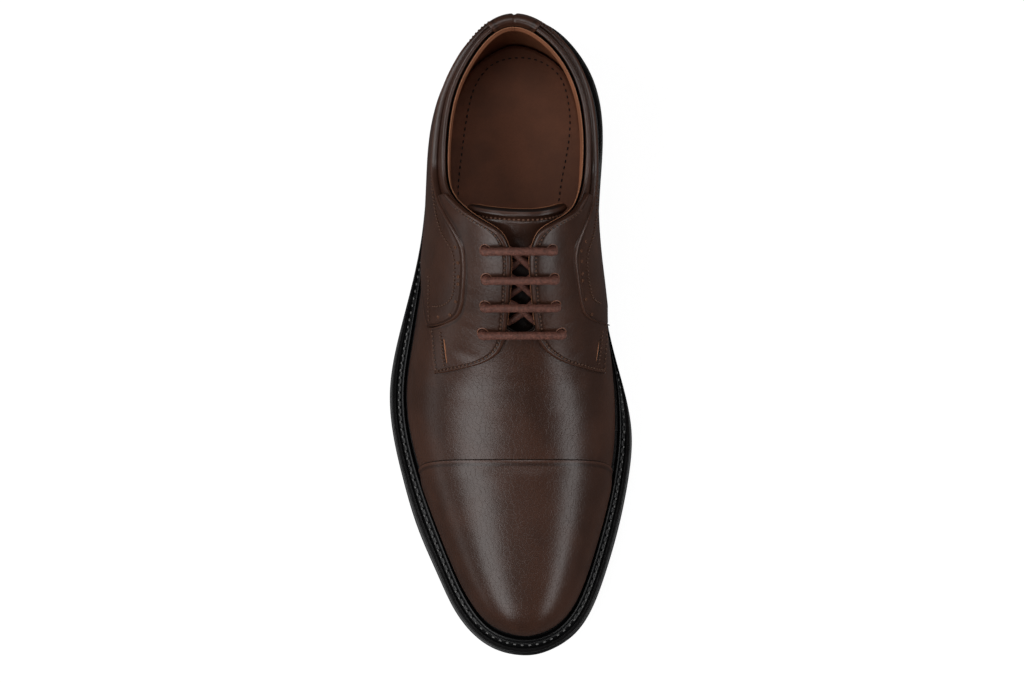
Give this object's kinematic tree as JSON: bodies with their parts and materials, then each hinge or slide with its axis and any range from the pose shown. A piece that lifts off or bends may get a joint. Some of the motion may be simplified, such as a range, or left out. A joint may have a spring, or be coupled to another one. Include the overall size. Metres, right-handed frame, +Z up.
{
  "type": "cap-toe derby shoe",
  "caption": "Lace-up cap-toe derby dress shoe for the right foot, standing empty, with a padded collar, a laced front and a ribbed stitched sole.",
  "frame": {"origin": "on the floor plane, at the middle of the shoe's length and width", "axes": "+X towards the inner side of the foot, +Y towards the heel, +Z up; the toe points to -Y"},
  "size_m": [0.1151, 0.3, 0.0998],
  "materials": {
    "upper_leather": "smooth dark brown leather, softly polished",
    "lining_leather": "matt brown lining leather",
    "sole_rubber": "near-black moulded rubber, satin",
    "lace_cord": "round waxed reddish brown cord"
  },
  "bodies": {
    "root": {"top_piece": "sole_rubber", "heel_block": "sole_rubber", "outsole": "sole_rubber", "midsole": "sole_rubber", "welt": "sole_rubber", "insole": "lining_leather", "upper": "upper_leather", "tongue": "upper_leather", "toe_cap": "upper_leather", "facing_lateral": "upper_leather", "facing_medial": "upper_leather", "quarter_lateral": "upper_leather", "quarter_medial": "upper_leather", "heel_tab": "upper_leather", "laces": "lace_cord"}
  },
  "joints": []
}
